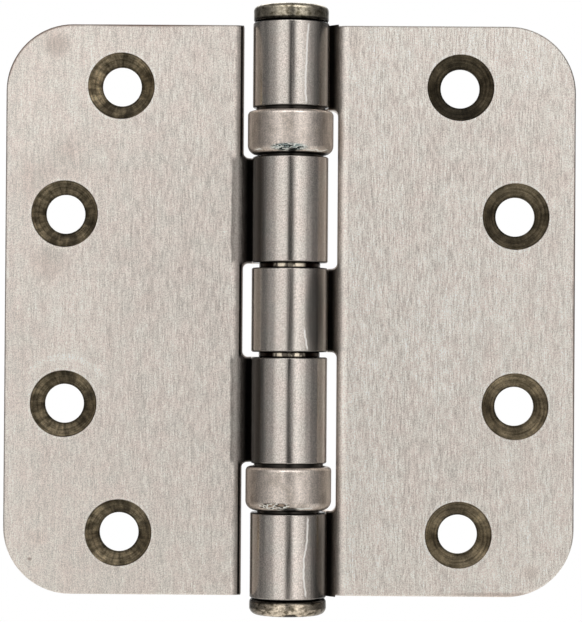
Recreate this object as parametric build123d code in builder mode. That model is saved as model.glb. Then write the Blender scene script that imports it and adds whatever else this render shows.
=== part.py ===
from build123d import *
from math import asin, cos, degrees, isclose, radians, sin, tan
import os

os.makedirs("parts", exist_ok=True)

# Ball bearing butt hinge, opened flat, in millimetres.
# The origin is on the pin's axis, half way up the leaves. +Z runs up the pin,
# +X across the frame leaf, and -Y to the side that the screws go in from.

# Leaves
leaf_height = 102.0
open_width = 102.0
sheet = 3.0
corner_radius = 12.0
edge_break = 0.25
closed_gap = 1.5  # between the screw sides of the closed leaves

# Swage, the step that sets the leaf's edge back to meet the curl round the pin
swage_start = 10.4  # from the pin's axis to the flat part of the leaf
swage_radius = 3.5  # of the screw side
swage_slope = 50.0
foot_radius = 1.0  # of the screw side, where the step meets the curl's plane
seam_gap = 0.3  # between the end of the curl and its own leaf

# Pin
pin_diameter = 7.5
pin_play = 0.05  # radial, in the bores that turn on it
pin_tip_chamfer = 0.5
neck_length = 12.0  # thicker stretch, driven into the top knuckle
head_diameter = 13.4
head_height = 3.2
head_dome = 0.3
head_rim_round = 0.9
head_under_round = 0.6

# Plug in the bottom knuckle
plug_diameter = 13.7
plug_height = 3.2
plug_dome = 0.4
plug_rim_round = 1.3
plug_under_round = 0.8
plug_stem_length = 6.0
plug_stem_chamfer = 0.5
pin_end_room = 0.5  # between the pin's tip and the plug's stem

# Knuckles, along the pin
end_knuckle = 15.0  # from the leaf's end
end_overhang = 0.25  # of the barrel past the leaf's ends
middle_knuckle = 15.0
knuckle_gap = 0.9
knuckle_rounding = 0.35

# Screw holes, in a line of two near the barrel and a line of two further out
hole_diameter = 7.0
countersink_diameter = 12.0
countersink_angle = 90.0
inner_hole_offset = 30.4  # from the pin's axis
inner_hole_spacing = 80.0
outer_hole_offset = 40.4
outer_hole_spacing = 34.0

# Bearings
bearing_height = 8.7  # between the knuckles that it keeps apart
bearing_diameter = 15.3
shell_height = 7.8
shell_wall = 0.7
shell_top_bend = 0.8
shell_lip_bend = 1.7
shell_standoff = 0.35  # from the knuckle below
collar_radius = 5.6  # of the lower race's shoulder, which reaches the knuckle below
wide_collar_radius = 6.2  # of the upper race's shoulder, which reaches the knuckle above
running_gap = 0.3  # between pieces that turn past each other
ball_count = 10
ball_diameter = 2.0
ball_play = 0.02
pocket_play = 0.05
groove_depth = 0.4
cage_thickness = 0.7
race_chamfer = 0.3

# Notches that let the other leaf's knuckles and the bearings in
notch_room = 0.85  # beside the bearings
notch_corner = 1.0

# Places that follow from the sizes above
half_height = leaf_height / 2
half_width = open_width / 2
face_y = closed_gap / 2
back_y = face_y + sheet
pin_radius = pin_diameter / 2
bore_radius = pin_radius + pin_play
knuckle_radius = bore_radius + sheet
notch_edge = bearing_diameter / 2 + notch_room

# The leaf steps back on two arcs, and the curl starts from the plane that it steps back to.
slope = radians(swage_slope)
bend_centre = (swage_start, face_y + swage_radius)
both_radii = swage_radius + foot_radius
straight_rise = bore_radius - face_y - both_radii * (1 - cos(slope))
foot_x = swage_start - both_radii * sin(slope) - straight_rise / tan(slope)
foot_centre = (foot_x, bore_radius - foot_radius)
curl_angle = 270 + degrees(asin((bore_radius - seam_gap) / knuckle_radius))

# Knuckles and notches from the middle upwards, the same below
barrel_end = half_height + end_overhang
middle_top = middle_knuckle / 2
door_knuckle_bottom = middle_top + knuckle_gap
bearing_top = half_height - end_knuckle
bearing_bottom = bearing_top - bearing_height
beyond = half_height + notch_corner + corner_radius  # past the leaf's end
frame_knuckles = [(-barrel_end, -bearing_top), (-middle_top, middle_top), (bearing_top, barrel_end)]
frame_notches = [(-bearing_top, -middle_top), (middle_top, bearing_top)]
door_knuckles = [(-bearing_bottom, -door_knuckle_bottom), (door_knuckle_bottom, bearing_bottom)]
door_notches = [
    (-beyond, -bearing_bottom),
    (-door_knuckle_bottom, door_knuckle_bottom),
    (bearing_bottom, beyond),
]

# Inside a bearing, heights above the knuckle below it
shell_radius = bearing_diameter / 2
shell_inside = shell_radius - shell_wall
shell_lip_opening = collar_radius + running_gap
shell_top_opening = wide_collar_radius + running_gap
shell_top = shell_standoff + shell_height
lower_race_bottom = shell_standoff + shell_wall + running_gap
upper_race_top = shell_top - shell_wall
ball_height = (lower_race_bottom + upper_race_top) / 2
ball_radius = ball_diameter / 2
groove_radius = ball_radius + ball_play
race_face_offset = groove_radius - groove_depth
cage_inside = pin_radius + running_gap
cage_outside = shell_inside - running_gap
pitch_radius = (cage_inside + cage_outside) / 2


def leaf_section():
    """The frame leaf cut across the pin: flat leaf, swage and curl in one sheet."""
    with BuildSketch() as section:
        with BuildLine():
            screw_side = Line((half_width, face_y), (swage_start, face_y))
            screw_bend = CenterArc(bend_centre, swage_radius, -90, -swage_slope)
            screw_foot = CenterArc(foot_centre, foot_radius, 90 - swage_slope, swage_slope)
            Line(screw_bend @ 1, screw_foot @ 0)
            bore = CenterArc((0, 0), bore_radius, 90, curl_angle)
            Line(screw_foot @ 1, bore @ 0)
            rim = CenterArc((0, 0), knuckle_radius, 90, curl_angle)
            Line(bore @ 1, rim @ 1)
            back_foot = CenterArc(foot_centre, foot_radius + sheet, 90 - swage_slope, swage_slope)
            Line(rim @ 0, back_foot @ 1)
            back_bend = CenterArc(bend_centre, swage_radius - sheet, -90, -swage_slope)
            Line(back_foot @ 0, back_bend @ 1)
            back = Line(back_bend @ 0, (half_width, back_y))
            Line(back @ 1, screw_side @ 0)
        make_face()
    return section.sketch


def rounding_ring(end, inward):
    """Ring with a hollow quarter round, which rounds one end of a knuckle when cut away."""
    inner = knuckle_radius - knuckle_rounding
    with BuildPart() as ring:
        with BuildSketch(Plane.XZ):
            with BuildLine():
                outside = knuckle_radius + knuckle_rounding
                over = end - inward * knuckle_rounding
                rounding = JernArc((inner, end), (1, 0), knuckle_rounding, inward * 90)
                Polyline(
                    rounding @ 1,
                    (outside, end + inward * knuckle_rounding),
                    (outside, over),
                    (inner, over),
                    (inner, end),
                )
            make_face()
        revolve(axis=Axis.Z, revolution_arc=curl_angle)
    return ring.part.rotate(Axis.Z, 90)


def leaf(knuckles, notches):
    """A leaf on the +X side with its curls, notches and countersunk screw holes."""
    with BuildPart() as piece:
        with BuildSketch(Plane.XY.offset(-barrel_end)):
            add(leaf_section())
        extrude(amount=2 * barrel_end)
        with BuildSketch(Plane.XZ):
            with Locations((notch_edge + half_width, 0)):
                with GridLocations(0, 2 * barrel_end, 1, 2):
                    Rectangle(open_width, 2 * end_overhang)
        extrude(amount=2 * knuckle_radius, both=True, mode=Mode.SUBTRACT)
        fillet(piece.edges().filter_by(Axis.Y).group_by(Axis.X)[-1], corner_radius)

        with BuildSketch(Plane.XZ) as cut:
            for low, high in notches:
                with Locations((0, (low + high) / 2)):
                    Rectangle(2 * notch_edge, high - low)
            fillet(cut.vertices().group_by(Axis.X)[-1], notch_corner)
        extrude(amount=2 * knuckle_radius, both=True, mode=Mode.SUBTRACT)

        screw_side = piece.faces().filter_by(Axis.Y).sort_by(Axis.Y)[0]
        outline = screw_side.edges().sort_by(Axis.X)[1:]
        beside_barrel = piece.edges().filter_by(Axis.Z).filter_by(
            lambda edge: isclose(edge.center().X, notch_edge) and edge.length > sheet
        )
        chamfer(outline + beside_barrel.group_by(Axis.Y)[0], edge_break)

        for low, high in knuckles:
            add(rounding_ring(low, 1), mode=Mode.SUBTRACT)
            add(rounding_ring(high, -1), mode=Mode.SUBTRACT)

        with Locations(Plane.XZ.offset(-face_y)):
            with Locations((inner_hole_offset, 0)):
                with GridLocations(0, inner_hole_spacing, 1, 2):
                    CounterSinkHole(
                        hole_diameter / 2, countersink_diameter / 2, sheet, countersink_angle
                    )
            with Locations((outer_hole_offset, 0)):
                with GridLocations(0, outer_hole_spacing, 1, 2):
                    CounterSinkHole(
                        hole_diameter / 2, countersink_diameter / 2, sheet, countersink_angle
                    )
    return piece.part


def button(diameter, height, dome, rim_round, under_round):
    """Half section of a domed button that stands on the end of a knuckle."""
    with BuildSketch() as half:
        with BuildLine():
            top = ThreePointArc(
                (-diameter / 2, height - dome), (0, height), (diameter / 2, height - dome)
            )
            Polyline(top @ 1, (diameter / 2, 0), (-diameter / 2, 0), top @ 0)
        make_face()
        fillet(half.vertices().group_by(Axis.Y)[-1], rim_round)
        fillet(half.vertices().group_by(Axis.Y)[0], under_round)
        split(bisect_by=Plane.YZ)
    return half.sketch


def shell(base):
    """Rolled steel shell: drawn in at the top and rolled in at the lip below."""
    wall_middle = shell_radius - shell_wall / 2
    lip = base + shell_standoff + shell_wall / 2
    crown = base + shell_top - shell_wall / 2
    with BuildPart() as piece:
        with BuildSketch(Plane.XZ):
            with BuildLine():
                FilletPolyline(
                    (shell_lip_opening, lip),
                    (wall_middle, lip),
                    (wall_middle, crown),
                    (shell_top_opening, crown),
                    radius=[shell_lip_bend - shell_wall / 2, shell_top_bend - shell_wall / 2],
                )
            trace(line_width=shell_wall)
        revolve(axis=Axis.Z)
    return piece.part


def upper_race(base):
    """Race that fills the top of the shell and carries the knuckle above on its shoulder."""
    face = base + ball_height + race_face_offset
    with BuildPart() as piece:
        with BuildSketch(Plane.XY.offset(face)):
            Circle(shell_inside)
        extrude(amount=base + upper_race_top - face)
        chamfer(piece.faces().sort_by(Axis.Z)[-1].edges(), race_chamfer)
        with BuildSketch(Plane.XY.offset(base + upper_race_top)):
            Circle(wide_collar_radius)
        extrude(amount=bearing_height - upper_race_top)
        with Locations((0, 0, base + ball_height)):
            Torus(pitch_radius, groove_radius, mode=Mode.SUBTRACT)
        with Locations((0, 0, base + bearing_height)):
            Hole(bore_radius)
    return piece.part


def lower_race(base):
    """Race held in by the shell's lip, with its shoulder on the knuckle below."""
    bottom = base + lower_race_bottom
    face = base + ball_height - race_face_offset
    with BuildPart() as piece:
        with BuildSketch(Plane.XY.offset(bottom)):
            Circle(shell_inside - running_gap)
        extrude(amount=face - bottom)
        fillet(
            piece.faces().sort_by(Axis.Z)[0].edges(),
            shell_lip_bend - shell_wall - running_gap,
        )
        with BuildSketch(Plane.XY.offset(base)):
            Circle(collar_radius)
        extrude(amount=lower_race_bottom)
        with Locations((0, 0, base + ball_height)):
            Torus(pitch_radius, groove_radius, mode=Mode.SUBTRACT)
        with Locations((0, 0, face)):
            Hole(bore_radius)
    return piece.part


def cage(base):
    """Flat ring between the races with a pocket for each ball."""
    with BuildPart() as piece:
        with BuildSketch(Plane.XY.offset(base + ball_height - cage_thickness / 2)):
            Circle(cage_outside)
            Circle(cage_inside, mode=Mode.SUBTRACT)
            with PolarLocations(pitch_radius, ball_count):
                Circle(ball_radius + pocket_play, mode=Mode.SUBTRACT)
        extrude(amount=cage_thickness)
    return piece.part


def ball(base, number):
    """One ball in its pocket of the cage."""
    with BuildPart() as piece:
        with Locations((0, 0, base + ball_height)):
            with PolarLocations(pitch_radius, 1, start_angle=number * 360 / ball_count):
                Sphere(ball_radius)
    return piece.part


def keep(piece, name):
    """Label a finished piece and write it."""
    piece.label = name
    export_step(piece, f"parts/{name}.step")


# Leaves: the frame leaf has the end knuckles and the middle one, the door leaf the two between.
with BuildPart() as frame_leaf:
    add(leaf(frame_knuckles, frame_notches))

with BuildPart() as door_leaf:
    add(leaf(door_knuckles, door_notches))
    mirror(about=Plane.YZ, mode=Mode.REPLACE)

# Pin: button head on the top knuckle, driven neck, plain shank with a chamfered tip
with BuildPart() as hinge_pin:
    tip = -barrel_end + plug_stem_length + pin_end_room
    with BuildSketch(Plane.XY.offset(tip)):
        Circle(pin_radius)
    extrude(amount=barrel_end - tip)
    chamfer(hinge_pin.faces().sort_by(Axis.Z)[0].edges(), pin_tip_chamfer)
    with BuildSketch(Plane.XY.offset(barrel_end - neck_length)):
        Circle(bore_radius)
    extrude(amount=neck_length)
    with BuildSketch(Plane.XZ.shift_origin((0, 0, barrel_end))):
        add(button(head_diameter, head_height, head_dome, head_rim_round, head_under_round))
    revolve(axis=Axis.Z)

# Plug: button under the bottom knuckle, with a stem driven into its bore
with BuildPart() as bottom_plug:
    with BuildSketch(Plane.XY.offset(-barrel_end)):
        Circle(bore_radius)
    extrude(amount=plug_stem_length)
    chamfer(bottom_plug.faces().sort_by(Axis.Z)[-1].edges(), plug_stem_chamfer)
    with BuildSketch(Plane(origin=(0, 0, -barrel_end), x_dir=(1, 0, 0), z_dir=(0, 1, 0))):
        add(button(plug_diameter, plug_height, plug_dome, plug_rim_round, plug_under_round))
    revolve(axis=Axis.Z)

keep(frame_leaf.part, "frame_leaf")
keep(door_leaf.part, "door_leaf")
keep(hinge_pin.part, "hinge_pin")
keep(bottom_plug.part, "bottom_plug")

# Bearings: alike, one above and one below the door leaf's knuckles, both with the lip down
for place, base in (("upper", bearing_bottom), ("lower", -bearing_top)):
    keep(shell(base), f"{place}_bearing_shell")
    keep(upper_race(base), f"{place}_bearing_upper_race")
    keep(lower_race(base), f"{place}_bearing_lower_race")
    keep(cage(base), f"{place}_bearing_cage")
    for number in range(ball_count):
        keep(ball(base, number), f"{place}_bearing_ball_{number + 1:02d}")
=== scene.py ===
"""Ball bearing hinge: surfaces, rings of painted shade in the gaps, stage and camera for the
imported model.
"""

from math import cos, pi, radians, sin

import bmesh
import bpy
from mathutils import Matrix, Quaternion, Vector


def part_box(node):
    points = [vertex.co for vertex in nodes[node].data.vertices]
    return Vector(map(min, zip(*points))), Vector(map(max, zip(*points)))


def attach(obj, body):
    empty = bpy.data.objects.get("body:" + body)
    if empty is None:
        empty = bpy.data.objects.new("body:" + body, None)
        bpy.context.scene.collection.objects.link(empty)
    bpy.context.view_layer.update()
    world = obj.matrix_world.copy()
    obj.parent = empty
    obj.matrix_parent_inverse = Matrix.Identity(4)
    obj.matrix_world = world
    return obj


bl_info = {
    "name": "Ball bearing hinge",
    "version": (1, 0, 0),
    "blender": (4, 5, 0),
    "location": "View3D > Sidebar > Hinge",
    "description": "Surfaces, gap_shade rings, stage and camera of a swaged ball bearing hinge",
    "category": "Object",
}

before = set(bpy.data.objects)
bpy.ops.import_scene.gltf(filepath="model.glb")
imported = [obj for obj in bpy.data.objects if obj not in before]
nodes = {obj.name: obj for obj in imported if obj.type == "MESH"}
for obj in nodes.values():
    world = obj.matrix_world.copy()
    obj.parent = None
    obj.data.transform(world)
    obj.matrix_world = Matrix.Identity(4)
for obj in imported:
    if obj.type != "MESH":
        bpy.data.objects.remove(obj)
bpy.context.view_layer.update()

# Places on the hinge in millimetres, as in the model
MILLIMETRES_PER_METRE = 1000
HOLE_PLACES = ((30.4, 0, 40), (40.4, 0, 17))
COUNTERSINK_RADIUS = 6.0
HOLE_RADIUS = 3.5
LEAF_FRONT = 0.75
LEAF_BACK = 3.75
CORNER_RADIUS = 12.0
KNUCKLE_RADIUS = 6.8
SHELL_RADIUS = 7.65
BARREL_END = 51.25
FRAME_KNUCKLE_ENDS = (BARREL_END, 36, 7.5)
DOOR_KNUCKLE_ENDS = (27.3, 8.4)

# How deep the front surface of a leaf counts, for marks that don't reach its edges and back
SKIN_DEPTH = 0.5

# Sides of a spacer ring
RING_SIDES = 96

# The leaves' patterns: features in a millimetre along x, y and z, and how strongly they show,
# as a share of the grain or as it is
BRUSHING, BRUSHING_SHARE = (5.2, 5.2, 0.45), 0.3
STREAKS, STREAK_SHARE = (1.6, 1.6, 0.07), 0.12
SPECKLE, SPECKLE_SHARE, KNUCKLE_SPECKLE_SHARE = (5.2, 5.2, 4.6), 0.66, 0.62
CLOUDS, CLOUD_STRENGTH = (0.07, 0.07, 0.05), 0.03
HUES = (0.3, 0.3, 0.25)

# Depth of the leaves' relief in millimetres, and how much of it each pattern gives
LEAF_RELIEF = 0.0035
BRUSHING_RELIEF = 0.22
SPECKLE_RELIEF = 0.4
KNUCKLE_RELIEF = 0.8

# Grey factors: painted shade in a groove and at a hole's edges, the painted highlight of the
# rim round it, and a washer's mark
GROOVE_SHADE = 0.12
HOLE_EDGE_SHADE = 0.5
HOLE_RIM_HIGHLIGHT = 1.09
WASHER_TONE = 1.13

# Mark of a washer above the door leaf's third hole: radius, and the heights where it fades in
WASHER_RADIUS = 8.4
WASHER_FADE = (-13, -10.5)

# From the pin, where the painted shade in the groove beside a knuckle turns from black to grey
GROOVE_REACH = (7.5, 8.3)

# From the pin, where painted shade darkens a knuckle's side, towards its own leaf and towards the
# other
OWN_SIDE = (4.0, 5.3)
OTHER_SIDE = (4.7, 5.6)

# Both leaves.
# Knuckle stretches: heights of the leaf's own knuckles, above or below the middle.
# Bends and free edge: reach from the pin over which a grey factor changes, and its two ends.
# Side shade tones: grey factors of painted shade on a knuckle's side towards its own leaf and the
# other.
# Stains and smears: middle, size, and strength or grey factor.
# Sink tones: grey factor of the lowest countersink, then heights and the factor above each.
# Chatter: strength of the chatter marks in the countersinks.
# Corner: middle of the corner with a brown rim, on the leaf that also has the washer's mark.
LEAVES = {
    "door_leaf": {
        "seed": 3.7,
        "side": -1,
        "tone": 1.0,
        "knuckle_ends": DOOR_KNUCKLE_ENDS,
        "knuckle_stretches": ((8.4, 27.3),),
        "knuckle_bend": (10.3, 10.7, 0.4, 1),
        "free_bend": (9.4, 10.2, 0.38, 1),
        "free_edge": (8.95, 9.15, 0.03, 1),
        "side_shade_tones": (0.1, 0.66),
        "stains": (
            ((-42.3, LEAF_FRONT, 47.4), (3.6, 3, 3.2), 0.34),
            ((-26, LEAF_FRONT, 51.1), (18, 3, 0.75), 1.0),
            ((-46, LEAF_FRONT, 23), (5, 3, 6), 0.16),
            ((-40, LEAF_FRONT, 27), (5, 3, 6), 0.14),
            ((-43.5, LEAF_FRONT, 8), (5, 3, 4.5), 0.2),
            ((-46.2, LEAF_FRONT, -44.8), (0.6, 2, 0.4), 0.7),
            ((-45, LEAF_FRONT, -41), (3, 3, 2), 0.12),
        ),
        "smears": (),
        "sink_tones": (1.0, (-30, 1.0), (0, 1.05), (30, 1.1)),
        "chatter": 0.45,
        "corner": (-39, 0, 39),
        "painted_highlight": False,
    },
    "frame_leaf": {
        "seed": 41.3,
        "side": 1,
        "tone": 1.07,
        "knuckle_ends": FRAME_KNUCKLE_ENDS,
        "knuckle_stretches": ((-7.5, 7.5), (36, 52)),
        "knuckle_bend": (8.0, 10.5, 0.4, 1),
        "free_bend": (8.6, 9.8, 0.6, 1),
        "free_edge": (8.5, 8.75, 0.3, 1),
        "side_shade_tones": (0.42, 0.66),
        "stains": (
            ((11.6, LEAF_FRONT, 48), (2, 3, 5), 0.2),
            ((38, LEAF_FRONT, -50.6), (14, 3, 0.6), 0.4),
            ((43.5, LEAF_FRONT, -46.5), (2.2, 3, 2), 0.2),
            ((47.5, LEAF_FRONT, 24), (3, 3, 7), 0.1),
            ((51.1, LEAF_FRONT, 0), (0.7, 3, 44), 0.8),
        ),
        "smears": (
            ((4.5, -5, 0), (2.2, 5, 12), 0.42),
            ((6.2, -3, -45), (2.4, 5, 12), 0.45),
        ),
        "sink_tones": (1.15, (-30, 1.1), (0, 0.75), (30, 0.55)),
        "chatter": 0.22,
        "corner": None,
        "painted_highlight": True,
    },
}

# The painted highlight line along the frame leaf's knuckles: its stretches, and where it runs at
# each height
HIGHLIGHT_LINE_STRETCHES = ((36.2, 50.9), (-7.4, -3.0), (-50.9, -36.2))
HIGHLIGHT_LINE_COURSE = (
    (-51, 3.5),
    (-48.5, 3.0),
    (-45, 2.85),
    (-41, 3.35),
    (-37, 3.5),
    (-7.5, 3.25),
    (-3, 2.65),
    (36.5, 2.75),
    (40, 2.6),
    (44, 2.75),
    (48, 2.9),
    (51, 3.2),
)

# Soft light round the hinge: direction in degrees, seen from above with zero behind the
# camera and positive to the right, and how bright the tent is there
TENT_LEVELS = (
    (-180, 0.85),
    (-162, 0.75),
    (-150, 0.2),
    (-132, 0.19),
    (-116, 0.1),
    (-103, 0.26),
    (-88, 0.12),
    (-74, 0.2),
    (-58, 0.38),
    (-49, 0.4),
    (-43, 0.66),
    (-36, 0.92),
    (-11, 0.95),
    (-8, 0.6),
    (-4, 0.08),
    (2, 0.02),
    (8, 0.08),
    (13, 0.6),
    (18, 1.05),
    (25, 1.2),
    (31, 1.05),
    (37, 0.86),
    (46, 0.86),
    (51, 0.46),
    (62, 0.36),
    (76, 0.18),
    (94, 0.15),
    (104, 0.07),
    (118, 0.11),
    (134, 0.22),
    (150, 0.2),
    (162, 0.75),
    (180, 0.85),
)

# Painted light and shade in countersinks, mostly dark tops, light bottoms: middle, size, grey
# factor
SINK_LIGHT_AND_SHADE = (
    ((-35.2, 2, 40), (2.6, 4, 5), 1.9),
    ((-30.4, 2, 44.8), (5, 4, 2.4), 0.55),
    ((-40.4, 2, 21.8), (5, 4, 2), 0.7),
    ((-40.4, 2, -12.2), (5, 4, 2.2), 0.6),
    ((-40.4, 2, -21.6), (4, 4, 2.2), 1.3),
    ((-30.4, 2, -35.2), (5, 4, 2.2), 0.55),
    ((-32.6, 2, -44.4), (4, 4, 2.4), 1.3),
    ((30.4, 2, 44.6), (6, 4, 3), 0.6),
    ((30.4, 2, 35.4), (6, 4, 3), 0.55),
    ((40.4, 2, 12.2), (5, 4, 2.4), 0.8),
    ((40.4, 2, -21.8), (5, 4, 2.6), 1.25),
    ((30.4, 2, -35.4), (5, 4, 2.6), 0.55),
    ((33, 2, -44), (4, 4, 2.6), 1.25),
)

# Sideways place and tint of the dented spot at each shell's lip, the stretches of its painted
# glints, and the half width of the dark nick under it
SHELL_MARKS = {
    "upper_bearing_shell": {
        "dent": -0.2,
        "tint": "teal",
        "glint_stretches": ((-6.6, -4.6), (2.4, 6.9)),
        "nick": 1.0,
    },
    "lower_bearing_shell": {
        "dent": -2.4,
        "tint": "brown",
        "glint_stretches": ((-0.4, 4.6),),
        "nick": 1.9,
    },
}

# Size of the dented spot, sideways place of the nick, and the grey factors of the painted shade
# in the spot's folds, of the nick and of the painted shade in the seam under the lip
DENT_SIZE = (3.9, 5, 0.8)
CRUMPLE_SHADE = 0.06
NICK_PLACE = 0.35
NICK_TONE = 0.08
SEAM_SHADE = 0.15

# The plug's nick: middle and size. The painted shade in the joint under the pin's head and
# over the plug: heights between which it ends, and its grey factor.
PLUG_NICK = ((0.6, -5.5, -54.0), (1.6, 4, 0.5))
BUTTON_JOINT_SHADE = (BARREL_END + 0.45, BARREL_END + 0.85)
BUTTON_JOINT_SHADE_TONE = 0.06

# The tent's sides, and the shares of its radius between which it gets brighter, up and down
TENT_SIDES = 96
TENT_LIFT = (0.27, 0.6)

# Width and height of the lamps in metres
KEY_LAMP_SIZE = (1.2, 0.7)
SIDE_LAMP_SIZE = (0.9, 1.2)

# Share of the floor's reach at which it begins to fade
FLOOR_FADE_START = 0.4

# Lowest and highest value that counts in a noise of mean one half
NOISE_LOW = 0.3
NOISE_HIGH = 0.7


def shade(red, green, blue):
    """Linear colour of a screen colour given in steps of 255."""

    def linear(step):
        part = step / 255
        return part / 12.92 if part <= 0.04045 else ((part + 0.055) / 1.055) ** 2.4

    return tuple(linear(step) for step in (red, green, blue))


def colour_property(name, description, *steps):
    return bpy.props.FloatVectorProperty(
        name=name,
        description=description,
        default=shade(*steps),
        subtype="COLOR",
        size=3,
        min=0,
        max=1,
    )


def part_property(name, description, default):
    return bpy.props.FloatProperty(
        name=name, description=description, default=default, subtype="FACTOR", min=0, max=1
    )


def length_property(name, description, default):
    return bpy.props.FloatProperty(
        name=name, description=description, default=default, subtype="DISTANCE", unit="LENGTH"
    )


def power_property(name, description, default):
    return bpy.props.FloatProperty(
        name=name, description=description, default=default, unit="POWER", min=0
    )


def angle_property(name, description, degrees):
    return bpy.props.FloatProperty(
        name=name, description=description, default=radians(degrees), subtype="ANGLE"
    )


class HINGE_PG_leaves(bpy.types.PropertyGroup):
    steel: colour_property("Steel", "Brushed stainless steel of both leaves", 242, 233, 225)
    pink: colour_property("Warm tint", "Tint of the warmer clouds on the leaves", 254, 250, 248)
    green: colour_property("Cool tint", "Tint of the cooler clouds on the leaves", 251, 252, 250)
    # Its darkness is partly tarnish and partly painted shade for the dark surroundings the cones
    # reflect
    sink: colour_property(
        "Countersink", "Tarnished turned steel in the countersinks", 136, 124, 102
    )
    stain: colour_property("Stain", "Brown tarnish at corners and edges", 146, 118, 104)
    # Colour of a painted highlight line along the frame leaf's knuckles
    wear_and_highlight: colour_property("Highlight line", "Bright line painted along the knuckles", 244, 240, 234)
    leaf_roughness: part_property("Leaf roughness", "Roughness of the flat brushed sheet", 0.4)
    knuckle_roughness: part_property("Knuckle roughness", "Roughness of the curled knuckles", 0.19)
    knuckle_tone: part_property("Knuckle tone", "Darkening of the knuckles by handling", 0.79)
    # Painted shade in the joints at the knuckles' ends
    painted_joint_shade: part_property("Joint shade", "Brightness left where grime fills the joints", 0.08)
    sink_roughness: part_property("Countersink roughness", "Roughness of the countersinks", 0.42)
    grain: part_property("Grain", "How strongly the brushing shows in the colour", 0.3)


class HINGE_PG_pin(bpy.types.PropertyGroup):
    shank: colour_property("Shank", "Bare steel of the pin's shank", 142, 116, 88)
    head: colour_property("Head", "Bright part of the aged pin head", 198, 188, 168)
    plug: colour_property("Plug", "Bright part of the aged bottom plug", 236, 220, 198)
    tarnish: colour_property("Tarnish", "Dark olive tarnish on head and plug", 78, 70, 48)
    shank_roughness: part_property("Shank roughness", "Roughness of the shank", 0.2)
    head_roughness: part_property("Head roughness", "Roughness of head and plug", 0.24)


# Rings of painted shade, with painted highlights, in the plain gaps between the knuckles
class HINGE_PG_gap_shades(bpy.types.PropertyGroup):
    radius: length_property("Radius", "Outside of a gap_shade ring", 0.00545)
    bore: length_property("Bore", "Radius of the hole for the pin", 0.0038)
    clearance: length_property("Clearance", "Room between a ring and a knuckle", 0.00002)
    rounding: length_property("Rounding", "Rounding of the outer corners", 0.00012)
    # Painted highlights at the middle of a ring
    bright: colour_property("Highlighted steel", "Highlighted places at the middle of a ring", 240, 226, 204)
    # Black of the painted shade on a ring
    black: colour_property("Black", "Shaded steel of a ring", 34, 24, 18)
    roughness: part_property("Roughness", "Roughness of the rings", 0.22)


class HINGE_PG_bearings(bpy.types.PropertyGroup):
    shell: colour_property("Shell", "Drawn steel shell round each bearing", 220, 208, 198)
    cloud: colour_property("Shell cloud", "Darker clouds on the shell", 138, 126, 112)
    teal: colour_property("Lip tint", "Cool tint at the shell's rolled lip", 122, 146, 146)
    brown: colour_property("Lip rust", "Brown tint at the lower shell's lip", 134, 112, 92)
    # Colour of the painted glints at the shell's lip
    shine: colour_property("Lip shine", "Bright crease above the shell's lip", 240, 240, 232)
    # Dark as painted shade in the gaps beside the bearings
    race: colour_property("Race", "Darkened bearing steel of the races", 58, 54, 50)
    ball: colour_property("Ball", "Polished bearing steel of the balls", 214, 214, 216)
    brass: colour_property("Cage", "Stamped brass of the ball cages", 196, 160, 92)
    shell_roughness: part_property("Shell roughness", "Roughness of the shells", 0.38)
    ball_roughness: part_property("Ball roughness", "Roughness of the balls", 0.08)


class HINGE_PG_stage(bpy.types.PropertyGroup):
    camera_distance: length_property("Camera distance", "Camera to the middle of the hinge", 0.45)
    camera_azimuth: angle_property("Camera azimuth", "Turn of the camera round the hinge", -0.465)
    camera_elevation: angle_property(
        "Camera elevation", "Camera above the level of the hinge", -0.6
    )
    camera_roll: angle_property("Camera roll", "Tilt of the camera about its own axis", 0.389)
    camera_aim: length_property("Aim", "Sideways place of the point that is aimed at", 0.000271)
    camera_height: length_property("Aim height", "Height of the point that is aimed at", -0.000169)
    camera_lens: bpy.props.FloatProperty(
        name="Lens", description="Focal length in millimetres", default=145.86, min=1
    )
    floor_drop: length_property("Floor drop", "Floor below the middle of the hinge", 0.12)
    floor_reach: length_property("Floor reach", "Radius at which the floor has faded out", 0.46)
    floor: colour_property("Floor", "Plain pale floor", 236, 236, 234)
    tent_radius: length_property("Tent radius", "Soft tent from the hinge", 1.3)
    tent_gain: part_property("Tent gain", "How much brighter the tent is above and below", 1.0)
    ceiling_level: part_property("Ceiling level", "Brightness of the card overhead", 0.3)
    room_level: part_property("Room level", "Plain light that falls in from all round", 0.36)
    lamp_distance: length_property("Lamp distance", "Each soft lamp from the hinge", 1.2)
    side_angle: angle_property("Side lamps", "Turn of the side lamps from the camera", 48)
    side_power: power_property("Side power", "Power of each side lamp", 4.6)
    lamp_lift: angle_property("Lamp lift", "Each soft lamp above the level of the hinge", 42)
    key_power: power_property("Key power", "Power of the lamps in front and behind", 3.0)


# Shader building blocks


def feed(tree, socket, value):
    """Links a socket, or writes a plain value into it."""
    if isinstance(value, bpy.types.NodeSocket):
        tree.links.new(value, socket)
    elif socket.type == "RGBA" and len(value) == 3:
        socket.default_value = (*value, 1)
    else:
        socket.default_value = value


def calc(tree, operation, *values):
    node = tree.nodes.new("ShaderNodeMath")
    node.operation = operation
    for socket, value in zip(node.inputs, values):
        feed(tree, socket, value)
    return node.outputs[0]


def vector_calc(tree, operation, *values):
    node = tree.nodes.new("ShaderNodeVectorMath")
    node.operation = operation
    for socket, value in zip(node.inputs, values):
        feed(tree, socket, value)
    return node.outputs["Value"] if operation in ("LENGTH", "DISTANCE") else node.outputs["Vector"]


def fade(tree, value, low, high, start=0.0, end=1.0):
    """Runs smoothly from start to end while the value goes from low to high."""
    node = tree.nodes.new("ShaderNodeMapRange")
    node.interpolation_type = "SMOOTHSTEP"
    for name, number in (
        ("Value", value),
        ("From Min", low),
        ("From Max", high),
        ("To Min", start),
        ("To Max", end),
    ):
        feed(tree, node.inputs[name], number)
    return node.outputs["Result"]


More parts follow.
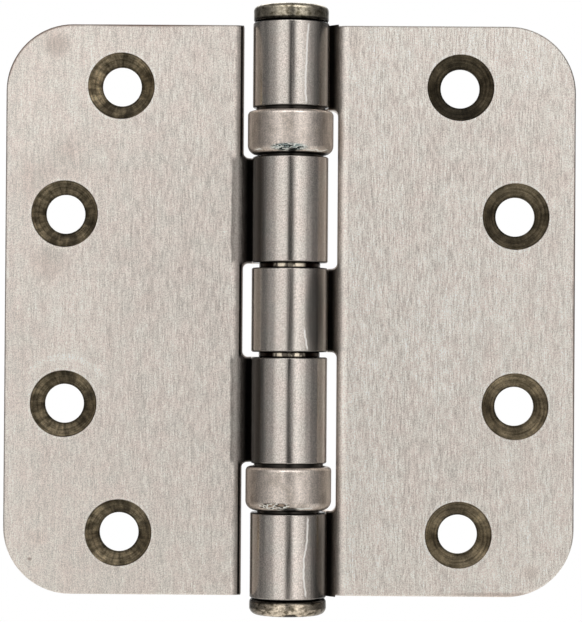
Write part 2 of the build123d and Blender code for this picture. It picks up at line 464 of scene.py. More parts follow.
def mix(tree, share, first, second, blend="MIX", kind="RGBA"):
    """A colour between two, by share."""
    node = tree.nodes.new("ShaderNodeMix")
    node.data_type = kind
    node.blend_type = blend
    sockets = [s for s in node.inputs if s.enabled]
    for socket, value in zip(sockets, (share, first, second)):
        feed(tree, socket, value)
    return next(s for s in node.outputs if s.enabled)


def mix_value(tree, share, first, second):
    """A number between two, by share."""
    return mix(tree, share, first, second, kind="FLOAT")


def scaled(tree, place, scale, shift=(0, 0, 0)):
    node = tree.nodes.new("ShaderNodeMapping")
    feed(tree, node.inputs["Vector"], place)
    node.inputs["Scale"].default_value = scale
    node.inputs["Location"].default_value = shift
    return node.outputs["Vector"]


def noise(tree, place, scale, shift, detail):
    """Noise with this many features in a millimetre along each axis."""
    node = tree.nodes.new("ShaderNodeTexNoise")
    feed(tree, node.inputs["Vector"], scaled(tree, place, scale, shift))
    node.inputs["Scale"].default_value = 1
    node.inputs["Detail"].default_value = detail
    return node.outputs[0]


def around(tree, value, amount):
    """A noise turned into a factor round one."""
    return fade(tree, value, NOISE_LOW, NOISE_HIGH, 1 - amount, 1 + amount)


def patch(tree, place, centre, size, core=0.2):
    """One inside a soft spot of this size, and nothing outside."""
    scale = tuple(1 / s for s in size)
    shift = tuple(-c / s for c, s in zip(centre, size))
    reach = vector_calc(tree, "LENGTH", scaled(tree, place, scale, shift))
    return fade(tree, reach, core, 1, 1, 0)


def times(tree, *values):
    result = values[0]
    for value in values[1:]:
        result = calc(tree, "MULTIPLY", result, value)
    return result


def strongest(tree, *values):
    result = values[0]
    for value in values[1:]:
        result = calc(tree, "MAXIMUM", result, value)
    return result


def opposite(tree, share):
    return calc(tree, "SUBTRACT", 1, share)


def line_at(tree, value, middle, core, reach):
    """One within the core of a line, and nothing beyond its reach."""
    across = calc(tree, "ABSOLUTE", calc(tree, "SUBTRACT", value, middle))
    return fade(tree, across, core, reach, 1, 0)


def stretch(tree, value, low, high, inside, outside=0.0):
    """One from low to high, with soft ends that reach so far inside and outside."""
    above = fade(tree, value, low - outside, low + inside)
    below = fade(tree, value, high - inside, high + outside, 1, 0)
    return times(tree, above, below)


def tinted(tree, colour, factor):
    """A colour times a grey factor."""
    node = tree.nodes.new("ShaderNodeVectorMath")
    node.operation = "SCALE"
    feed(tree, node.inputs[0], colour)
    feed(tree, node.inputs["Scale"], factor)
    return node.outputs["Vector"]


def toned(tree, colour, share, tone):
    """A colour times a grey factor where the share is one, and as it is where that is nothing."""
    return tinted(tree, colour, mix_value(tree, share, 1, tone))


def draw_curve(node, places, handle="AUTO"):
    """Runs a curve node's curve through these places."""
    points = node.mapping.curves[0].points
    points[0].location = places[0]
    points[0].handle_type = handle
    for place in places[1:-1]:
        points.new(*place).handle_type = handle
    points[-1].location = places[-1]
    points[-1].handle_type = handle
    node.mapping.update()


def emptied(data):
    """The node tree of a new material or world, without the nodes that it starts with."""
    data.use_nodes = True
    data.node_tree.nodes.clear()
    return data.node_tree


def output(tree, shader, kind="Material"):
    """Puts a shader on the surface of a material or world."""
    node = tree.nodes.new("ShaderNodeOutput" + kind)
    tree.links.new(shader, node.inputs["Surface"])


def axes(tree, place):
    """The three parts of a place."""
    parts = tree.nodes.new("ShaderNodeSeparateXYZ")
    tree.links.new(place, parts.inputs["Vector"])
    return parts.outputs


class Surface:
    """A metal material with its place in millimetres and its shader."""

    def __init__(self, name):
        self.material = bpy.data.materials.new(name)
        self.tree = emptied(self.material)
        self.shader = self.tree.nodes.new("ShaderNodeBsdfPrincipled")
        output(self.tree, self.shader.outputs["BSDF"])
        place = self.tree.nodes.new("ShaderNodeTexCoord").outputs["Object"]
        self.place = tinted(self.tree, place, MILLIMETRES_PER_METRE)
        self.x, self.y, self.z = axes(self.tree, self.place)

    def finish(self, colour, roughness, metallic=1.0, *, height, depth):
        """Feeds the shader, with a bump of this depth in millimetres, and gives the material."""
        tree, inputs = self.tree, self.shader.inputs
        feed(tree, inputs["Base Color"], colour)
        feed(tree, inputs["Roughness"], roughness)
        feed(tree, inputs["Metallic"], metallic)
        bump = tree.nodes.new("ShaderNodeBump")
        bump.inputs["Strength"].default_value = 1
        bump.inputs["Distance"].default_value = depth / MILLIMETRES_PER_METRE
        feed(tree, bump.inputs["Height"], height)
        tree.links.new(bump.outputs["Normal"], inputs["Normal"])
        return self.material


def cover(name, material):
    """Puts a material on a CAD node."""
    nodes[name].data.materials.clear()
    nodes[name].data.materials.append(material)


# Leaves


def hole_place(surface):
    """Distance and direction from the nearest hole's axis."""
    tree = surface.tree
    folded = vector_calc(tree, "ABSOLUTE", scaled(tree, surface.place, (1, 0, 1)))
    offsets = [vector_calc(tree, "SUBTRACT", folded, place) for place in HOLE_PLACES]
    reaches = [vector_calc(tree, "LENGTH", offset) for offset in offsets]
    second = calc(tree, "GREATER_THAN", *reaches)
    nearest = mix(tree, second, *offsets)
    return calc(tree, "MINIMUM", *reaches), vector_calc(tree, "NORMALIZE", nearest)


class LeafSurface(Surface):
    """A leaf's material, with its patterns and the regions that they are used in."""

    def __init__(self, name, look, leaf):
        super().__init__(name + "_brushed_steel")
        self.look, self.leaf = look, leaf
        tree, place = self.tree, self.place
        shift = (leaf["seed"], 6.3, leaf["seed"] * 0.6)
        self.brushing = noise(tree, place, BRUSHING, shift, 3)
        self.streaks = noise(tree, place, STREAKS, shift, 2)
        self.speckle = noise(tree, place, SPECKLE, shift, 2)
        self.clouds = noise(tree, place, CLOUDS, shift, 3)
        self.hues = noise(tree, place, HUES, tuple(-s for s in shift), 3)
        self.out = calc(tree, "MULTIPLY", self.x, leaf["side"])
        self.height = calc(tree, "ABSOLUTE", self.z)
        self.reach, self.hole_direction = hole_place(self)
        self.skin = calc(tree, "LESS_THAN", self.y, LEAF_FRONT + SKIN_DEPTH)
        self.in_sheet = calc(tree, "LESS_THAN", self.y, LEAF_BACK - 0.02)
        cone = fade(tree, self.reach, COUNTERSINK_RADIUS - 0.1, COUNTERSINK_RADIUS + 0.02, 1, 0)
        self.sink = times(tree, cone, self.in_sheet)
        radius = vector_calc(tree, "LENGTH", scaled(tree, place, (1, 1, 0)))
        self.knuckle = fade(tree, radius, KNUCKLE_RADIUS + 0.05, KNUCKLE_RADIUS + 0.5, 1, 0)

    def steel(self):
        """Brushed sheet and smoother knuckles with the stains of this leaf."""
        tree, look, leaf = self.tree, self.look, self.leaf
        flat = times(
            tree,
            around(tree, self.brushing, look.grain * BRUSHING_SHARE),
            around(tree, self.speckle, look.grain * SPECKLE_SHARE),
            leaf["tone"],
        )
        curled = around(tree, self.speckle, look.grain * KNUCKLE_SPECKLE_SHARE)
        tone = times(
            tree,
            mix_value(tree, self.knuckle, flat, times(tree, curled, look.knuckle_tone)),
            around(tree, self.streaks, look.grain * STREAK_SHARE),
            around(tree, self.clouds, CLOUD_STRENGTH),
        )
        hue = mix(tree, fade(tree, self.hues, NOISE_LOW, NOISE_HIGH), look.pink, look.green)
        colour = mix(tree, 1.0, look.steel, hue, "MULTIPLY")
        for centre, size, strength in leaf["stains"]:
            spot = times(tree, patch(tree, self.place, centre, size), strength)
            ragged = times(tree, spot, fade(tree, self.speckle, 0.2, 0.6, 0.55, 1))
            colour = mix(tree, ragged, colour, look.stain)
        if leaf["corner"]:
            colour = mix(tree, self.corner_rim(), colour, look.stain)
            tone = times(tree, tone, mix_value(tree, self.washer_mark(), 1, WASHER_TONE))
        return tinted(tree, colour, tone)

    def corner_rim(self):
        """The brown rim along a rounded corner."""
        tree, corner = self.tree, self.leaf["corner"]
        flat = scaled(tree, self.place, (1, 0, 1))
        return times(
            tree,
            line_at(tree, vector_calc(tree, "DISTANCE", flat, corner), CORNER_RADIUS, 0.05, 0.6),
            fade(tree, self.x, corner[0] - 2, corner[0] + 3, 1, 0),
            fade(tree, self.z, corner[2] + 1, corner[2] + 4),
            self.skin,
            fade(tree, self.clouds, 0.3, 0.55, 0.3, 0.8),
        )

    def washer_mark(self):
        """The bright arc of a washer above the third hole."""
        tree = self.tree
        return times(
            tree,
            line_at(tree, self.reach, WASHER_RADIUS, 0.2, 0.9),
            fade(tree, self.z, *WASHER_FADE),
            calc(tree, "LESS_THAN", self.z, 0),
            self.skin,
        )

    def bend_shade(self):
        """Grey factor of painted shade on the stepped bend beside the barrel, its groove and free
        edges.
        """
        tree, leaf = self.tree, self.leaf
        ragged = noise(tree, self.place, (0.5, 0.5, 0.35), (4, 0, 4), 2)
        bent = calc(tree, "ADD", self.out, fade(tree, ragged, 0, 1, -0.2, 0.2))
        own = strongest(
            tree,
            *(
                stretch(tree, self.height, low, high, 0.7, 0.5)
                for low, high in leaf["knuckle_stretches"]
            ),
        )
        groove = fade(tree, self.out, *GROOVE_REACH, GROOVE_SHADE, 1)
        beside = times(tree, fade(tree, bent, *leaf["knuckle_bend"]), groove)
        edge = mix_value(tree, self.skin, 1, fade(tree, self.out, *leaf["free_edge"]))
        free = times(tree, fade(tree, bent, *leaf["free_bend"]), edge)
        return mix_value(tree, own, free, beside)

    def knuckle_side_shade(self):
        """Grey factor of the painted shade on a knuckle's sides."""
        tree = self.tree
        own_tone, other_tone = self.leaf["side_shade_tones"]
        ragged = calc(tree, "ADD", self.out, fade(tree, self.speckle, 0, 1, -0.15, 0.15))
        own = fade(tree, ragged, *OWN_SIDE, 1, own_tone)
        other = fade(tree, calc(tree, "MULTIPLY", ragged, -1), *OTHER_SIDE, 1, other_tone)
        ahead = fade(tree, self.y, 2, 4, 1, 0)
        return mix_value(tree, ahead, 1, times(tree, own, other))

    def shaded(self, colour):
        """Paints shade on the bend, in the joints between the knuckles, and on their sides."""
        tree, knuckle = self.tree, self.knuckle
        beside = fade(tree, self.out, KNUCKLE_RADIUS, KNUCKLE_RADIUS + 0.1)
        colour = toned(tree, colour, times(tree, beside, self.in_sheet), self.bend_shade())
        ends = self.leaf["knuckle_ends"]
        # Painted shade in the joints at the knuckles' ends
        joints = strongest(tree, *(line_at(tree, self.height, end, 0.14, 0.36) for end in ends))
        colour = toned(tree, colour, times(tree, joints, knuckle), self.look.painted_joint_shade)
        colour = toned(tree, colour, knuckle, self.knuckle_side_shade())
        for centre, size, tone in self.leaf["smears"]:
            smear = times(tree, patch(tree, self.place, centre, size, 0.4), knuckle)
            colour = toned(tree, colour, smear, tone)
        return colour

    def turned_marks_and_shade(self):
        """Turning rings, chatter, uneven wear and painted light and shade of the countersinks as
        one grey factor.
        """
        tree, seed = self.tree, self.leaf["seed"]
        along = tinted(tree, (0, 1, 0), self.reach)
        spread = vector_calc(tree, "ADD", self.hole_direction, along)
        rings = noise(tree, spread, (1.1, 3.2, 1.1), (seed, 0, seed), 3)
        chatter = noise(tree, spread, (7, 0.5, 7), (0, seed, 0), 3)
        wear_and_highlight = noise(tree, self.place, (0.35, 0, 0.35), (seed, 0, 1), 2)
        marks = times(
            tree,
            around(tree, rings, 0.4),
            around(tree, chatter, self.leaf["chatter"]),
            around(tree, wear_and_highlight, 0.35),
        )
        for centre, size, tone in SINK_LIGHT_AND_SHADE:
            spot = patch(tree, self.place, centre, size, 0.3)
            marks = times(tree, marks, mix_value(tree, spot, 1, tone))
        return marks

    def with_countersinks(self, colour):
        """Tarnished turned steel in the countersinks, darker also as painted shade, and a painted
        rim highlight.
        """
        tree, reach = self.tree, self.reach
        level, *steps = self.leaf["sink_tones"]
        for above, tone in steps:
            level = mix_value(tree, calc(tree, "GREATER_THAN", self.z, above), level, tone)
        # Painted shade at the hole's edge and at the countersink's outer edge
        edges = strongest(
            tree,
            line_at(tree, reach, HOLE_RADIUS, 0.1, 0.5),
            line_at(tree, reach, COUNTERSINK_RADIUS, 0.05, 0.3),
        )
        tone = times(
            tree,
            self.turned_marks_and_shade(),
            around(tree, self.speckle, 0.26),
            level,
            mix_value(tree, edges, 1, HOLE_EDGE_SHADE),
        )
        colour = mix(tree, self.sink, colour, tinted(tree, self.look.sink, tone))
        # Painted highlight on a thin rim round each countersink
        rim = line_at(tree, reach, COUNTERSINK_RADIUS + 0.2, 0.05, 0.3)
        outside = times(tree, rim, opposite(tree, self.sink))
        return toned(tree, colour, outside, HOLE_RIM_HIGHLIGHT)

    def roughness(self):
        tree, look = self.tree, self.look
        sheet = times(tree, look.leaf_roughness, around(tree, self.brushing, 0.14))
        curl = times(tree, look.knuckle_roughness, around(tree, self.streaks, 0.25))
        rough = mix_value(tree, self.knuckle, sheet, curl)
        return mix_value(tree, self.sink, rough, look.sink_roughness)

    def relief(self):
        tree = self.tree
        brushed = times(tree, self.brushing, BRUSHING_RELIEF)
        grain = calc(tree, "ADD", brushed, times(tree, self.speckle, SPECKLE_RELIEF))
        return times(tree, grain, mix_value(tree, self.knuckle, 1, KNUCKLE_RELIEF))


def painted_highlight_line(surface):
    """The thin wavy painted highlight along the right of the frame leaf's knuckles."""
    tree = surface.tree
    low, high = HIGHLIGHT_LINE_COURSE[0][0], HIGHLIGHT_LINE_COURSE[-1][0]
    node = tree.nodes.new("ShaderNodeFloatCurve")
    height = calc(tree, "SUBTRACT", surface.z, low)
    feed(tree, node.inputs["Value"], calc(tree, "DIVIDE", height, high - low))
    places = [
        ((at - low) / (high - low), sideways / KNUCKLE_RADIUS)
        for at, sideways in HIGHLIGHT_LINE_COURSE
    ]
    draw_curve(node, places)
    middle = calc(tree, "MULTIPLY", node.outputs[0], KNUCKLE_RADIUS)
    wander = noise(tree, surface.place, (0, 0, 0.9), (0, 0, 3.1), 1)
    middle = calc(tree, "ADD", middle, fade(tree, wander, 0, 1, -0.12, 0.12))
    stretches = (stretch(tree, surface.z, low, high, 0.8) for low, high in HIGHLIGHT_LINE_STRETCHES)
    front = calc(tree, "LESS_THAN", surface.y, 0)
    line = line_at(tree, surface.x, middle, 0.07, 0.24)
    return times(tree, line, strongest(tree, *stretches), front)


def leaf_steel(name, look, leaf):
    """Brushed sheet, smoother knuckles, tarnished countersinks and the marks of one leaf."""
    surface = LeafSurface(name, look, leaf)
    tree = surface.tree
    colour = surface.with_countersinks(surface.shaded(surface.steel()))
    metallic = 1.0
    if leaf["painted_highlight"]:
        # A painted highlight line along the knuckles
        line = painted_highlight_line(surface)
        colour = mix(tree, line, colour, look.wear_and_highlight)
        metallic = opposite(tree, times(tree, line, 0.8))
    return surface.finish(
        colour, surface.roughness(), metallic, height=surface.relief(), depth=LEAF_RELIEF
    )


class HINGE_OT_leaves(bpy.types.Operator):
    """Gives both leaves brushed steel, tarnished countersinks and their stains"""

    bl_idname = "hinge.leaves"
    bl_label = "Leaves"

    def execute(self, context):
        for name, leaf in LEAVES.items():
            cover(name, leaf_steel(name, context.scene.hinge_leaves, leaf))
        return {"FINISHED"}


# Pin and plug


def aged_steel(name, bright, look, shank, side_shade_tone):
    """Tarnished button with painted shade at its sides and in the joint under it, and a bare shank
    where the piece has one.
    """
    surface = Surface(name)
    tree, place = surface.tree, surface.place
    blotches = noise(tree, place, (1.1, 1.1, 1.5), (2.2, 8.1, 4.4), 4)
    # Painted shade towards the sides of the head and plug
    sides = fade(tree, calc(tree, "ABSOLUTE", surface.x), 2.0, 5.8, 1, side_shade_tone)
    specks = noise(tree, place, (5.0, 5.0, 5.0), (0, 0, 0), 2)
    turning = noise(tree, place, (0.3, 0.3, 9.0), (5, 1, 2), 2)
    tarnish = fade(tree, blotches, 0.4, 0.68, 0, 0.85)
    colour = mix(tree, tarnish, bright, look.tarnish)
    grain = times(tree, around(tree, specks, 0.22), around(tree, turning, 0.1), sides)
    colour = tinted(tree, colour, grain)
    height = calc(tree, "ABSOLUTE", surface.z)
    # Painted shade in the joint against the barrel's end
    joint = fade(tree, height, *BUTTON_JOINT_SHADE, 1, 0)
    colour = toned(tree, colour, joint, BUTTON_JOINT_SHADE_TONE)
    colour = toned(tree, colour, patch(tree, place, *PLUG_NICK, 0.6), NICK_TONE)
    roughness = times(tree, look.head_roughness, around(tree, blotches, 0.3))
    if shank:
        button = fade(tree, surface.z, BARREL_END - 0.4, BARREL_END)
        drawn = noise(tree, place, (3.0, 3.0, 0.12), (1, 2, 3), 2)
        bare = tinted(tree, look.shank, around(tree, drawn, 0.15))
        colour = mix(tree, button, bare, colour)
        roughness = mix_value(tree, button, look.shank_roughness, roughness)
    return surface.finish(colour, roughness, height=specks, depth=0.0012)


class HINGE_OT_pin_and_plug(bpy.types.Operator):
    """Gives the pin and the bottom plug aged, tarnished steel"""

    bl_idname = "hinge.pin_and_plug"
    bl_label = "Pin and plug"

    def execute(self, context):
        look = context.scene.hinge_pin
        pin = aged_steel("pin_aged_steel", look.head, look, shank=True, side_shade_tone=0.62)
        plug = aged_steel("plug_aged_steel", look.plug, look, shank=False, side_shade_tone=0.36)
        cover("hinge_pin", pin)
        cover("bottom_plug", plug)
        return {"FINISHED"}


# Rings of painted shade in the plain gaps


def gap_shade_steel(look):
    """Painted shade on steel: black at its sides, with painted highlights at the middle."""
    surface = Surface("gap_shade_and_highlight_steel")
    tree = surface.tree
    # Painted shade: black at the sides and in patches, with painted highlights at the middle
    wear = noise(tree, surface.place, (1.3, 1.3, 0.5), (3.3, 0, 1.2), 3)
    across = calc(tree, "ABSOLUTE", surface.x)
    black = fade(tree, wear, 0.46, 0.56, 0, 0.85)
    dark = strongest(tree, black, fade(tree, across, 2.3, 3.0))
    colour = mix(tree, dark, look.bright, look.black)
    return surface.finish(colour, look.roughness, height=wear, depth=0.002)


def select_parts(made, kind, chosen):
    """Selects the faces or edges of a mesh in edit mode that are chosen, and no others."""
    bpy.ops.mesh.select_mode(type=kind)
    bpy.ops.mesh.select_all(action="DESELECT")
    mesh = bmesh.from_edit_mesh(made.data)
    for part in mesh.faces if kind == "FACE" else mesh.edges:
        part.select_set(chosen(part))
    bmesh.update_edit_mesh(made.data)


def ring(name, low, high, look):
    """A closed ring round the pin, with its outer corners rounded."""

    def flat_end(face):
        return abs(face.normal.z) > 0.5

    def outer_rim(edge):
        first, second = (corner.co for corner in edge.verts)
        inside = look.radius - look.rounding
        outer = first.xy.length > inside and second.xy.length > inside
        return outer and abs(first.z - second.z) < look.rounding

    bpy.ops.object.select_all(action="DESELECT")
    bpy.ops.mesh.primitive_cylinder_add(
        vertices=RING_SIDES,
        radius=look.radius,
        depth=high - low,
        location=(0, 0, (low + high) / 2),
    )
    made = bpy.context.object
    made.name = made.data.name = name
    bpy.ops.object.transform_apply(location=True, rotation=False, scale=False)
    bpy.ops.object.mode_set(mode="EDIT")
    select_parts(made, "FACE", flat_end)
    bpy.ops.mesh.inset(thickness=look.radius - look.bore, depth=0)
    bpy.ops.mesh.bridge_edge_loops()
    select_parts(made, "EDGE", outer_rim)
    bpy.ops.mesh.bevel(offset=look.rounding, segments=3)
    bpy.ops.object.mode_set(mode="OBJECT")
    bpy.ops.object.shade_smooth_by_angle(angle=radians(40))
    return made


class HINGE_OT_gap_shades(bpy.types.Operator):
    """Puts a ring of painted shade, with painted highlights, in each of the two plain gaps"""

    bl_idname = "hinge.spacers"
    bl_label = "Gap shades"

    def execute(self, context):
        look = context.scene.hinge_spacers
        steel = gap_shade_steel(look)
        near = FRAME_KNUCKLE_ENDS[-1] / MILLIMETRES_PER_METRE + look.clearance
        far = DOOR_KNUCKLE_ENDS[-1] / MILLIMETRES_PER_METRE - look.clearance
        for name, low, high in (("upper_gap_shade", near, far), ("lower_gap_shade", -far, -near)):
            made = ring(name, low, high, look)
            made.data.materials.append(steel)
            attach(made, "frame")
        return {"FINISHED"}


# Bearings


def shell_steel(name, look, lip, marks):
    """Clouded drawn steel with a dented, tinted spot and painted glints and shade at its rolled
    lip.

    The lip's height also sets the place in the noise, so that the two shells differ.
    """
    surface = Surface(name + "_drawn_steel")
    tree, place = surface.tree, surface.place
    clouds = noise(tree, place, (0.5, 0.5, 0.35), (lip, 0, lip), 4)
    specks = noise(tree, place, (4.6, 4.6, 4.6), (0, lip, 0), 2)
    drawn = noise(tree, place, (2.2, 2.2, 0.2), (lip, lip, 0), 2)
    colour = mix(tree, fade(tree, clouds, 0.45, 0.75, 0, 0.5), look.shell, look.cloud)
    grain = times(tree, around(tree, specks, 0.22), around(tree, drawn, 0.08))
    # Painted shade towards the shell's sides
    sides = fade(tree, calc(tree, "ABSOLUTE", surface.x), 3.6, 6.4, 1, 0.66)
    colour = tinted(tree, tinted(tree, colour, grain), sides)

    front = calc(tree, "LESS_THAN", surface.y, 0)
    crumple = noise(tree, place, (0.7, 0.7, 2.2), (lip, 0, lip), 3)
    dent = patch(tree, place, (marks["dent"], -SHELL_RADIUS, lip + 1.0), DENT_SIZE, 0.6)
    spot = times(tree, dent, front)
    colour = mix(tree, times(tree, spot, 0.75), colour, getattr(look, marks["tint"]))
    # Painted shade in the folds of the dent
    folds = times(tree, spot, line_at(tree, crumple, 0.43, 0.03, 0.06))
    colour = toned(tree, colour, folds, CRUMPLE_SHADE)

    # Painted glints along the dent's folds and in stretches above the lip
    shine = times(tree, spot, line_at(tree, crumple, 0.53, 0.02, 0.05))
    wander = noise(tree, place, (0.45, 0.45, 0), (lip, lip, 0), 2)
    level = fade(tree, wander, NOISE_LOW, NOISE_HIGH, lip + 0.4, lip + 0.75)
    glint = line_at(tree, surface.z, level, 0.03, 0.16)
    for low, high in marks["glint_stretches"]:
        along = times(tree, glint, stretch(tree, surface.x, low, high, 0.8), front)
        shine = strongest(tree, shine, along)
    colour = mix(tree, shine, colour, look.shine)

    nick_size = (marks["nick"], 4, 0.55)
    nick = patch(tree, place, (NICK_PLACE, -SHELL_RADIUS, lip + 0.45), nick_size, 0.5)
    colour = toned(tree, colour, times(tree, nick, front), NICK_TONE)
    # Painted shade in the seam under the lip
    seam = fade(tree, surface.z, lip + 0.12, lip + 0.4, 1, 0)
    colour = toned(tree, colour, seam, SEAM_SHADE)
    roughness = times(tree, look.shell_roughness, around(tree, clouds, 0.2))
    metallic = opposite(tree, times(tree, shine, 0.7))
    return surface.finish(colour, roughness, metallic, height=specks, depth=0.003)


def plain_metal(name, colour, roughness, scale, amount, depth):
    """Metal with a simple grain that changes its colour by this amount."""
    surface = Surface(name)
    tree = surface.tree
    grain = noise(tree, surface.place, scale, (1.5, 2.5, 3.5), 2)
    shaded = tinted(tree, colour, around(tree, grain, amount))
    rough = times(tree, roughness, around(tree, grain, 0.2))
    return surface.finish(shaded, rough, height=grain, depth=depth)


class HINGE_OT_bearings(bpy.types.Operator):
    """Gives the bearings clouded shells, ground races, brass cages and polished balls"""

    bl_idname = "hinge.bearings"
    bl_label = "Bearings"

    def execute(self, context):
        look = context.scene.hinge_bearings
        # The races' dark colour is painted shade in the gaps beside the bearings
        race = plain_metal(
            "race_ground_steel", look.race, 0.22, scale=(0.3, 0.3, 6.0), amount=0.1, depth=0.002
        )
        ball = plain_metal(
            "ball_polished_steel",
            look.ball,
            look.ball_roughness,
            scale=(1.2, 1.2, 1.2),
            amount=0.04,
            depth=0.0005,
        )
        brass = plain_metal(
            "cage_stamped_brass", look.brass, 0.3, scale=(1.6, 1.6, 1.6), amount=0.12, depth=0.003
        )
        for name in sorted(nodes):
            if name.endswith("_race"):
                cover(name, race)
            elif "_ball_" in name:
                cover(name, ball)
            elif name.endswith("_cage"):
                cover(name, brass)
            elif name in SHELL_MARKS:
                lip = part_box(name)[0].z * MILLIMETRES_PER_METRE
                cover(name, shell_steel(name, look, lip, SHELL_MARKS[name]))
        return {"FINISHED"}


# Stage


def outward(azimuth, elevation):
    """Direction from the hinge; zero is towards the viewer, and elevation is above the level."""
    return Vector((sin(azimuth) * cos(elevation), -cos(azimuth) * cos(elevation), sin(elevation)))


def square_card(name, side, level, material):
    """A flat square on the stage, from minus to plus this side, at this level."""
    corners = [(x * side, y * side, level) for x, y in ((-1, -1), (1, -1), (1, 1), (-1, 1))]
    mesh = bpy.data.meshes.new(name)
    mesh.from_pydata(corners, [], [(0, 1, 2, 3)])
    mesh.materials.append(material)
    card = bpy.data.objects.new(name, mesh)
    bpy.context.scene.collection.objects.link(card)
    return card


def mix_shader(tree, share, first, second):
    """A shader between two, by share."""
    node = tree.nodes.new("ShaderNodeMixShader")
    for socket, value in zip(node.inputs, (share, first, second)):
        tree.links.new(value, socket)
    return node.outputs["Shader"]


def background(tree, level):
    """Light of one plain level from all round."""
    node = tree.nodes.new("ShaderNodeBackground")
    node.inputs["Color"].default_value = (level, level, level, 1)
    return node.outputs["Background"]


def glow(name, level):
    """The surface of a card that shows one plain level in the metal."""
    material = bpy.data.materials.new(name)
    tree = emptied(material)
    light = tree.nodes.new("ShaderNodeEmission")
    light.inputs["Color"].default_value = (level, level, level, 1)
    light.inputs["Strength"].default_value = 1
    output(tree, light.outputs["Emission"])
    return material


def only_reflected(card):
    """Lets only the reflections see a card."""
    card.visible_camera = False
    card.visible_diffuse = False
    card.visible_shadow = False
    card.visible_transmission = False


def soft_lamp(name, azimuth, look, size, power):
    """A wide lamp that faces the hinge and that the camera doesn't see."""
    data = bpy.data.lights.new(name, "AREA")
    data.shape = "RECTANGLE"
    data.size, data.size_y = size
    data.energy = power
    lamp = bpy.data.objects.new(name, data)
    towards = outward(azimuth, look.lamp_lift)
    lamp.location = towards * look.lamp_distance
    lamp.rotation_mode = "QUATERNION"
    lamp.rotation_quaternion = towards.to_track_quat("Z", "Y")
    lamp.visible_camera = False
    bpy.context.scene.collection.objects.link(lamp)
    return lamp


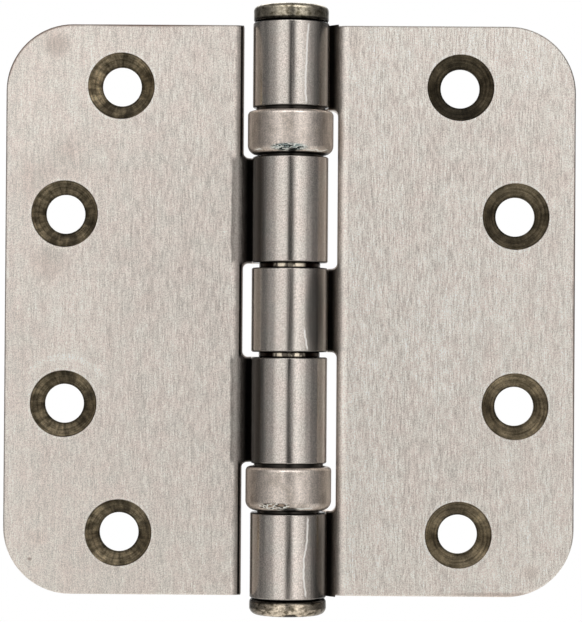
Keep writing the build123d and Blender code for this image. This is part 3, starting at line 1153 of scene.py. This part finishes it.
class HINGE_OT_stage(bpy.types.Operator):
    """Builds the floor, cards, lamps, room light and camera"""

    bl_idname = "hinge.stage"
    bl_label = "Stage"

    def execute(self, context):
        look = context.scene.hinge_stage
        self.floor(look)
        self.tent(look)
        self.lamps(look)
        self.room(context.scene, look)
        self.camera(context.scene, look)
        context.scene.view_settings.view_transform = "Standard"
        return {"FINISHED"}

    def floor(self, look):
        """A pale round floor that fades into the white surroundings."""
        material = bpy.data.materials.new("floor_surface")
        tree = emptied(material)
        pale = tree.nodes.new("ShaderNodeBsdfDiffuse")
        pale.inputs["Color"].default_value = (*look.floor, 1)
        clear = tree.nodes.new("ShaderNodeBsdfTransparent")
        place = tree.nodes.new("ShaderNodeTexCoord").outputs["Object"]
        reach = vector_calc(tree, "LENGTH", scaled(tree, place, (1, 1, 0)))
        gone = fade(tree, reach, look.floor_reach * FLOOR_FADE_START, look.floor_reach)
        output(tree, mix_shader(tree, gone, pale.outputs["BSDF"], clear.outputs["BSDF"]))
        square_card("floor", look.floor_reach, -look.floor_drop, material)

    def tent(self, look):
        """A soft tent round the hinge, brighter and darker by direction, and a card overhead."""
        radius = look.tent_radius
        bpy.ops.object.select_all(action="DESELECT")
        bpy.ops.mesh.primitive_cylinder_add(
            vertices=TENT_SIDES, radius=radius, depth=2 * radius, end_fill_type="NOTHING"
        )
        tent = bpy.context.object
        tent.name = "tent"
        only_reflected(tent)
        material = glow("tent_surface", 1)
        tent.data.materials.append(material)
        tree = material.node_tree
        light = next(node for node in tree.nodes if node.type == "EMISSION")
        x, y, z = axes(tree, tree.nodes.new("ShaderNodeTexCoord").outputs["Object"])
        direction = calc(tree, "ARCTAN2", x, calc(tree, "MULTIPLY", y, -1))
        ramp = tree.nodes.new("ShaderNodeFloatCurve")
        feed(tree, ramp.inputs["Value"], calc(tree, "MULTIPLY_ADD", direction, 0.5 / pi, 0.5))
        top = max(level for degrees, level in TENT_LEVELS)
        places = [(degrees / 360 + 0.5, level / top) for degrees, level in TENT_LEVELS]
        draw_curve(ramp, places, "VECTOR")
        low, high = (radius * share for share in TENT_LIFT)
        lift = calc(tree, "ABSOLUTE", z)
        gain = fade(tree, lift, low, high, top, top * (1 + look.tent_gain))
        feed(tree, light.inputs["Strength"], calc(tree, "MULTIPLY", ramp.outputs[0], gain))
        overhead = glow("ceiling_card_surface", look.ceiling_level)
        only_reflected(square_card("ceiling_card", radius, radius, overhead))

    def lamps(self, look):
        """Wide lamps in front and behind, and two side lamps that stay out of the metal."""
        for name, azimuth in (("key_lamp", 0), ("back_lamp", pi)):
            soft_lamp(name, azimuth, look, KEY_LAMP_SIZE, look.key_power)
        for name, side in (("left_lamp", -1), ("right_lamp", 1)):
            azimuth = side * look.side_angle
            lamp = soft_lamp(name, azimuth, look, SIDE_LAMP_SIZE, look.side_power)
            lamp.visible_glossy = False

    def room(self, scene, look):
        """White behind the hinge and in the metal, and a plain level on everything else."""
        world = bpy.data.worlds.new("room")
        tree = emptied(world)
        path = tree.nodes.new("ShaderNodeLightPath")
        rays = ("Is Camera Ray", "Is Glossy Ray", "Is Transmission Ray")
        seen = strongest(tree, *(path.outputs[ray] for ray in rays))
        plain, white = background(tree, look.room_level), background(tree, 1)
        output(tree, mix_shader(tree, seen, plain, white), "World")
        scene.world = world

    def camera(self, scene, look):
        """The camera of the photograph, seen from in front of the hinge."""
        data = bpy.data.cameras.new("camera")
        data.lens = look.camera_lens
        camera = bpy.data.objects.new("camera", data)
        back = outward(-look.camera_azimuth, look.camera_elevation)
        aim = Vector((look.camera_aim, 0, look.camera_height))
        camera.location = aim + back * look.camera_distance
        camera.rotation_mode = "QUATERNION"
        turn = Quaternion((0, 0, 1), look.camera_roll)
        camera.rotation_quaternion = (-back).to_track_quat("-Z", "Y") @ turn
        scene.collection.objects.link(camera)
        scene.camera = camera


class HINGE_PT_panel(bpy.types.Panel):
    """Lists the hinge's steps and their sizes and colours"""

    bl_idname = "HINGE_PT_panel"
    bl_label = "Ball bearing hinge"
    bl_space_type = "VIEW_3D"
    bl_region_type = "UI"
    bl_category = "Hinge"

    def draw(self, context):
        for operator, group in STEPS:
            box = self.layout.box()
            box.operator(operator.bl_idname)
            values = getattr(context.scene, group)
            for name in values.__annotations__:
                box.prop(values, name)


GROUPS = {
    "hinge_leaves": HINGE_PG_leaves,
    "hinge_pin": HINGE_PG_pin,
    "hinge_spacers": HINGE_PG_gap_shades,
    "hinge_bearings": HINGE_PG_bearings,
    "hinge_stage": HINGE_PG_stage,
}

STEPS = (
    (HINGE_OT_leaves, "hinge_leaves"),
    (HINGE_OT_pin_and_plug, "hinge_pin"),
    (HINGE_OT_gap_shades, "hinge_spacers"),
    (HINGE_OT_bearings, "hinge_bearings"),
    (HINGE_OT_stage, "hinge_stage"),
)

CLASSES = (*GROUPS.values(), *(operator for operator, group in STEPS), HINGE_PT_panel)


def register():
    for made in CLASSES:
        bpy.utils.register_class(made)
    for name, group in GROUPS.items():
        setattr(bpy.types.Scene, name, bpy.props.PointerProperty(type=group))


def unregister():
    for name in GROUPS:
        delattr(bpy.types.Scene, name)
    for made in reversed(CLASSES):
        bpy.utils.unregister_class(made)


def main():
    register()
    bpy.ops.hinge.leaves()
    bpy.ops.hinge.pin_and_plug()
    bpy.ops.hinge.spacers()
    bpy.ops.hinge.bearings()
    bpy.ops.hinge.stage()


if __name__ == "__main__":
    main()
